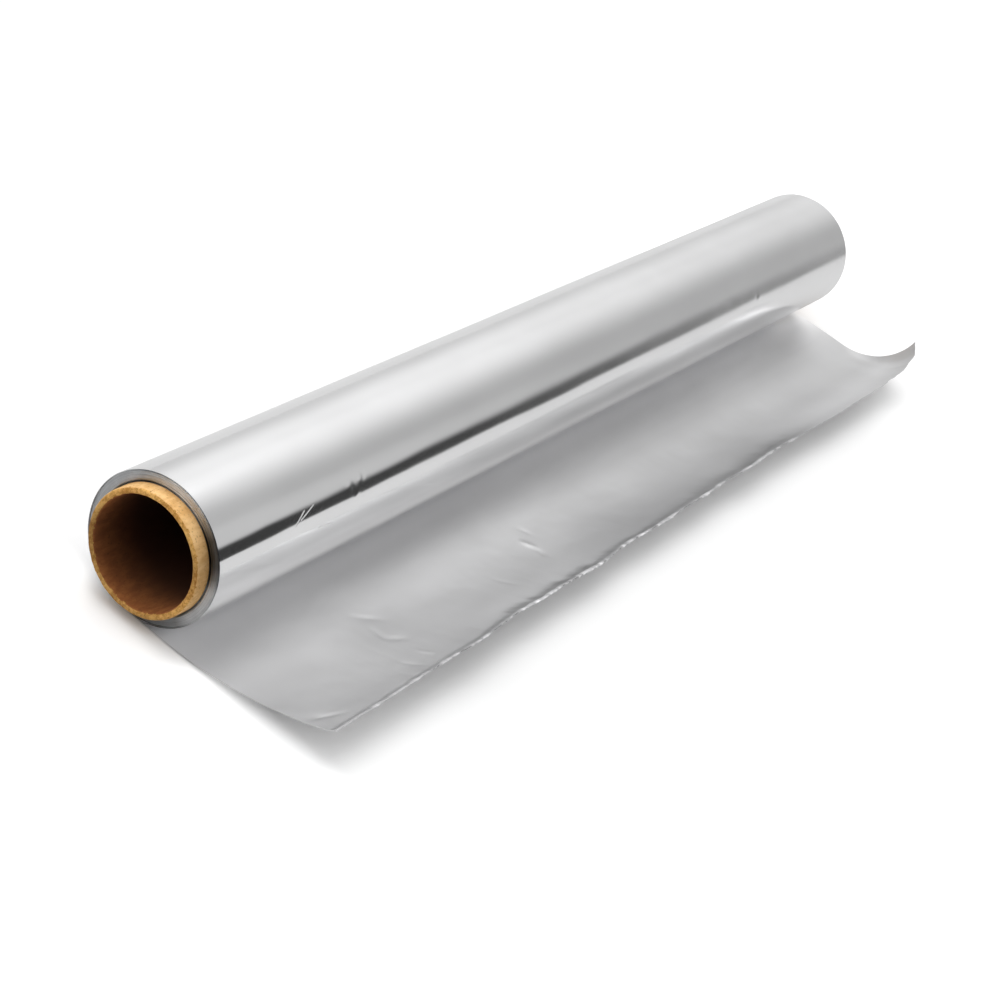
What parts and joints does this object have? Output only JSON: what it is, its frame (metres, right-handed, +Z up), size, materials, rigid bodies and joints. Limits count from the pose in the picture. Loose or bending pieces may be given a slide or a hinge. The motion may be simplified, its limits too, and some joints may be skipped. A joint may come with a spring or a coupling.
{
  "type": "aluminium foil roll",
  "caption": "Household roll of aluminium foil on a cardboard core, lying on a table with its free end drawn out, curled up and torn.",
  "frame": {"origin": "on the table, at the middle of the flat spot under the roll", "axes": "+X along the roll towards the end where the tail's corner curls highest, -Y the way the tail is drawn out, +Z up from the table"},
  "size_m": [0.307, 0.0684, 0.0329],
  "materials": {
    "kraft_board": "uncoated spiral-wound kraft board",
    "foil": "bright rolled foil outside, matte inside"
  },
  "bodies": {
    "root": {"core": "kraft_board", "foil": "foil"}
  },
  "joints": []
}
